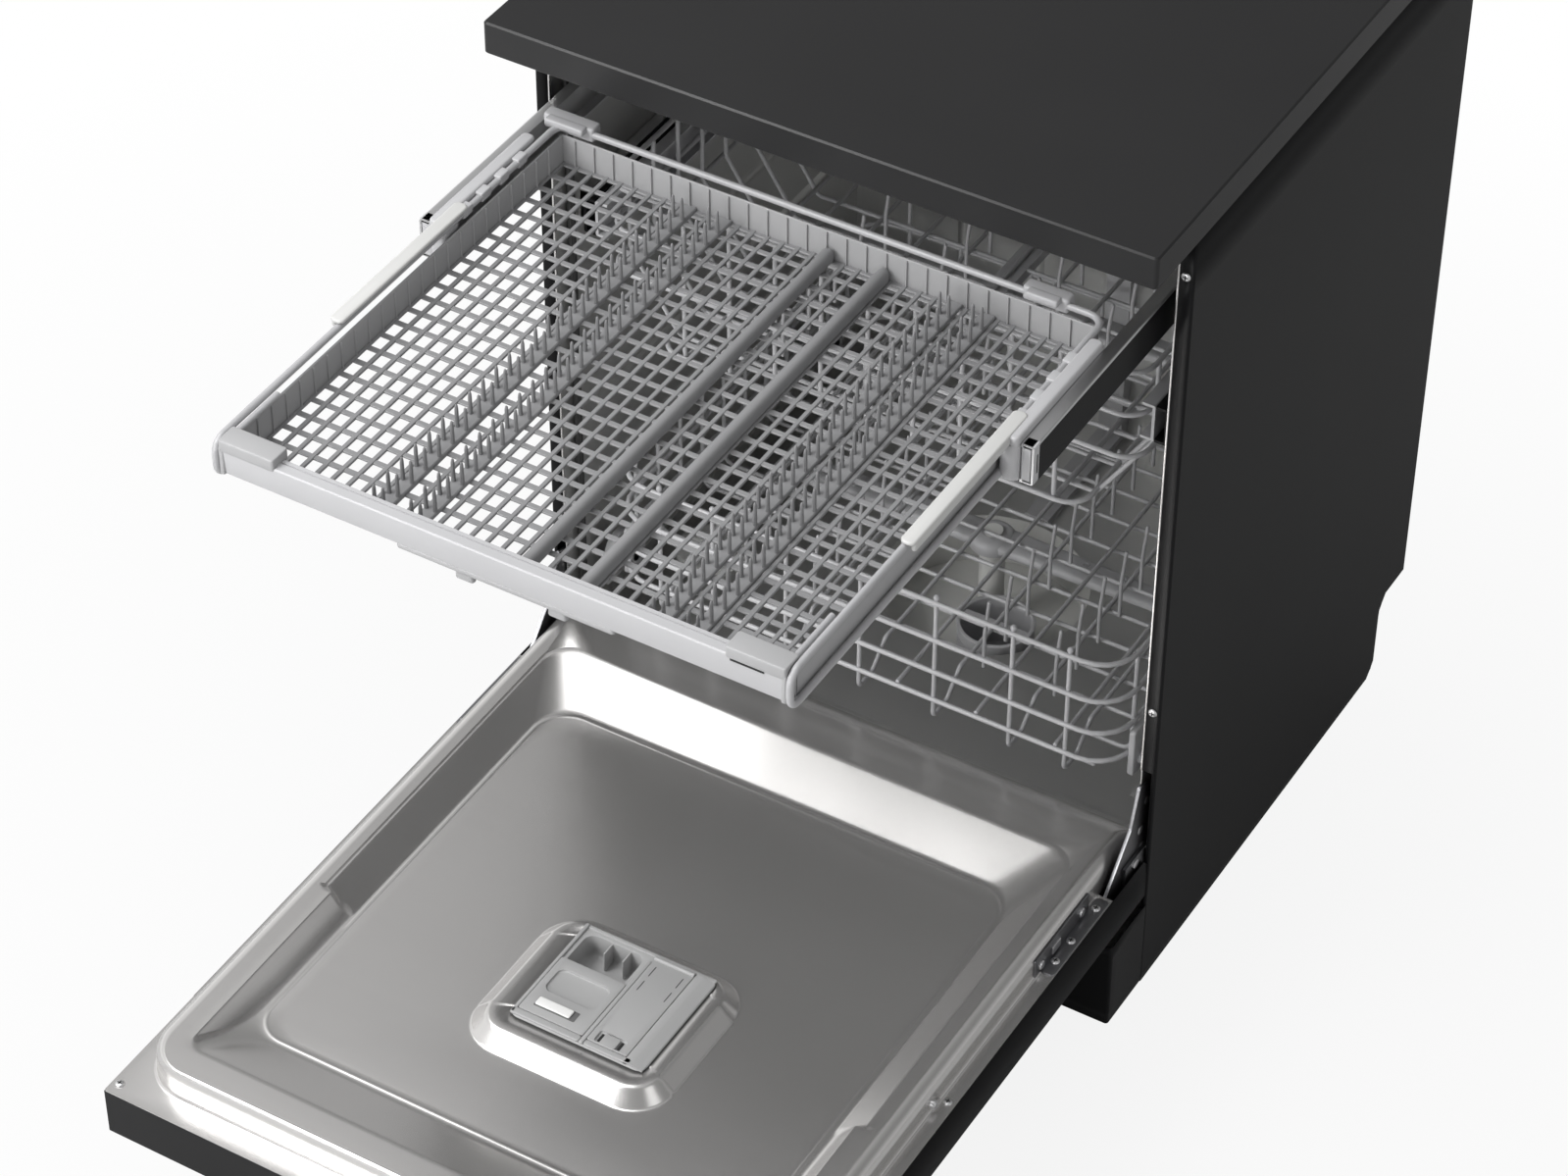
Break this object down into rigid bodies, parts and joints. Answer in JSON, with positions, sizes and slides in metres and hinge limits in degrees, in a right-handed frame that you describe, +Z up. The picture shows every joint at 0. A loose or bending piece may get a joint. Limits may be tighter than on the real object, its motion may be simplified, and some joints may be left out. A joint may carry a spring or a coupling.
{
  "type": "freestanding dishwasher",
  "caption": "Freestanding dishwasher with a drop-down door, steel tub, pull-out cutlery tray, sliding racks, rotating spray arms and a door-mounted dispenser.",
  "frame": {"origin": "middle of the footprint of the machine with its door open, on the floor", "axes": "+X to the right of a person facing the door, +Y to the rear, +Z up"},
  "size_m": [0.6, 1.2, 0.845],
  "materials": {
    "black_top": "satin",
    "black_steel": "satin",
    "stainless": "satin",
    "zinc_steel": "satin",
    "grey_wire": "satin",
    "grey_plastic": "matte",
    "dispenser_grey": "matte",
    "white_plastic": "gloss",
    "black_plastic": "matte",
    "display_black": "gloss",
    "black_rubber": "matte",
    "tank_plastic": "matte"
  },
  "bodies": {
    "cabinet": {"worktop": "black_top", "side_panel_right": "black_steel", "side_panel_left": "black_steel", "rear_panel": "zinc_steel", "base_pan": "black_plastic", "plinth": "black_steel", "levelling_feet": "black_plastic", "tub": "stainless", "front_frame": "zinc_steel", "door_seal": "black_rubber", "sump": "black_plastic", "filter": "stainless", "circulation_pump": "black_plastic", "drain_pump": "black_plastic", "water_softener": "tank_plastic", "salt_cap": "grey_plastic", "inlet_valve": "white_plastic", "power_inlet": "black_plastic", "air_break": "tank_plastic", "riser_pipe": "grey_plastic", "hinge_brackets": "zinc_steel", "balance_springs": "zinc_steel", "tray_rails": "zinc_steel", "upper_rails": "zinc_steel", "frame_screws": "black_steel", "latch_strike": "zinc_steel"},
    "door": {"door_outer_panel": "black_steel", "door_liner": "stainless", "control_fascia": "black_plastic", "display_window": "display_black", "control_module": "black_plastic", "latch_housing": "black_plastic", "dispenser_body": "dispenser_grey", "hinge_arms": "zinc_steel", "door_screws": "zinc_steel"},
    "button_power": {"power_button": "black_plastic"},
    "button_program": {"program_button": "black_plastic"},
    "button_start": {"start_button": "black_plastic"},
    "lid_detergent": {"detergent_lid": "dispenser_grey"},
    "slider": {"lid_slider": "white_plastic"},
    "lid_rinse": {"rinse_lid": "dispenser_grey"},
    "cutlery_tray": {"tray_frame": "grey_wire", "tray_insert": "grey_plastic", "tray_front_bar": "grey_plastic", "tray_clips": "grey_plastic", "tray_handles": "white_plastic", "tray_runners": "grey_wire"},
    "tray_middle_stage": {"tray_mid_rails": "black_steel"},
    "upper_basket": {"upper_rack": "grey_wire", "upper_feed_duct": "grey_plastic", "upper_runners": "grey_wire"},
    "upper_middle_stage": {"upper_mid_rails": "grey_wire"},
    "arm_upper": {"upper_spray_arm": "grey_plastic"},
    "arm_lower": {"lower_spray_arm": "grey_plastic"},
    "arm_ceiling": {"ceiling_spray_arm": "grey_plastic"},
    "lower_basket": {"lower_rack": "grey_wire"},
    "wheel_fr": {"wheel_front_right": "grey_plastic"},
    "wheel_fl": {"wheel_front_left": "grey_plastic"},
    "wheel_rr": {"wheel_rear_right": "grey_plastic"},
    "wheel_rl": {"wheel_rear_left": "grey_plastic"}
  },
  "joints": [
    {"name": "door_hinge", "type": "hinge", "parent": "cabinet", "child": "door", "pos_m": [0, 0.05, 0.162], "axis": [1, 0, 0], "range_deg": [-90, 0]},
    {"name": "tray_slide", "type": "slide", "parent": "cabinet", "child": "cutlery_tray", "axis": [0, -1, 0], "range_m": [-0.53, 0]},
    {"name": "tray_mid_slide", "type": "slide", "parent": "cabinet", "child": "tray_middle_stage", "axis": [0, -1, 0], "range_m": [-0.265, 0]},
    {"name": "upper_rack_slide", "type": "slide", "parent": "cabinet", "child": "upper_basket", "axis": [0, -1, 0], "range_m": [0, 0.4]},
    {"name": "upper_mid_slide", "type": "slide", "parent": "cabinet", "child": "upper_middle_stage", "axis": [0, -1, 0], "range_m": [0, 0.2]},
    {"name": "lower_rack_slide", "type": "slide", "parent": "cabinet", "child": "lower_basket", "axis": [0, -1, 0], "range_m": [0, 0.33]},
    {"name": "lower_arm_spin", "type": "hinge", "parent": "cabinet", "child": "arm_lower", "pos_m": [0, 0.335, 0.194], "axis": [0, 0, 1], "continuous": true},
    {"name": "upper_arm_spin", "type": "hinge", "parent": "upper_basket", "child": "arm_upper", "pos_m": [0, 0.335, 0.47], "axis": [0, 0, 1], "continuous": true},
    {"name": "ceiling_arm_spin", "type": "hinge", "parent": "cabinet", "child": "arm_ceiling", "pos_m": [0, 0.335, 0.771], "axis": [0, 0, 1], "continuous": true},
    {"name": "detergent_lid_slide", "type": "slide", "parent": "door", "child": "lid_detergent", "axis": [0, -1, 0], "range_m": [-0.038, 0]},
    {"name": "lid_slider_slide", "type": "slide", "parent": "lid_detergent", "child": "slider", "axis": [0, -1, 0], "range_m": [0, 0.003], "stiffness_N_per_m": 100},
    {"name": "rinse_lid_hinge", "type": "hinge", "parent": "door", "child": "lid_rinse", "pos_m": [0.038, -0.27, 0.1945], "axis": [-1, 0, 0], "range_deg": [0, 80]},
    {"name": "power_press", "type": "slide", "parent": "door", "child": "button_power", "axis": [0, 0, 1], "range_m": [0, 0.002], "stiffness_N_per_m": 200},
    {"name": "program_press", "type": "slide", "parent": "door", "child": "button_program", "axis": [0, 0, 1], "range_m": [0, 0.002], "stiffness_N_per_m": 200},
    {"name": "start_press", "type": "slide", "parent": "door", "child": "button_start", "axis": [0, 0, 1], "range_m": [0, 0.002], "stiffness_N_per_m": 200},
    {"name": "wheel_fr_roll", "type": "hinge", "parent": "lower_basket", "child": "wheel_fr", "pos_m": [0.2705, 0.13, 0.2145], "axis": [1, 0, 0], "range_deg": [-1, 1060]},
    {"name": "wheel_fl_roll", "type": "hinge", "parent": "lower_basket", "child": "wheel_fl", "pos_m": [-0.2705, 0.13, 0.2145], "axis": [1, 0, 0], "range_deg": [-1, 1060]},
    {"name": "wheel_rr_roll", "type": "hinge", "parent": "lower_basket", "child": "wheel_rr", "pos_m": [0.2705, 0.48, 0.2145], "axis": [1, 0, 0], "range_deg": [-1, 1060]},
    {"name": "wheel_rl_roll", "type": "hinge", "parent": "lower_basket", "child": "wheel_rl", "pos_m": [-0.2705, 0.48, 0.2145], "axis": [1, 0, 0], "range_deg": [-1, 1060]}
  ],
  "couplings": [
    {"joint": "tray_slide", "follows": "door_hinge", "m_per_rad": 0.33677},
    {"joint": "tray_mid_slide", "follows": "door_hinge", "m_per_rad": 0.16839},
    {"joint": "upper_mid_slide", "follows": "upper_rack_slide", "ratio": 0.5},
    {"joint": "wheel_fr_roll", "follows": "lower_rack_slide", "rad_per_m": 55.556},
    {"joint": "wheel_fl_roll", "follows": "lower_rack_slide", "rad_per_m": 55.556},
    {"joint": "wheel_rr_roll", "follows": "lower_rack_slide", "rad_per_m": 55.556},
    {"joint": "wheel_rl_roll", "follows": "lower_rack_slide", "rad_per_m": 55.556}
  ]
}
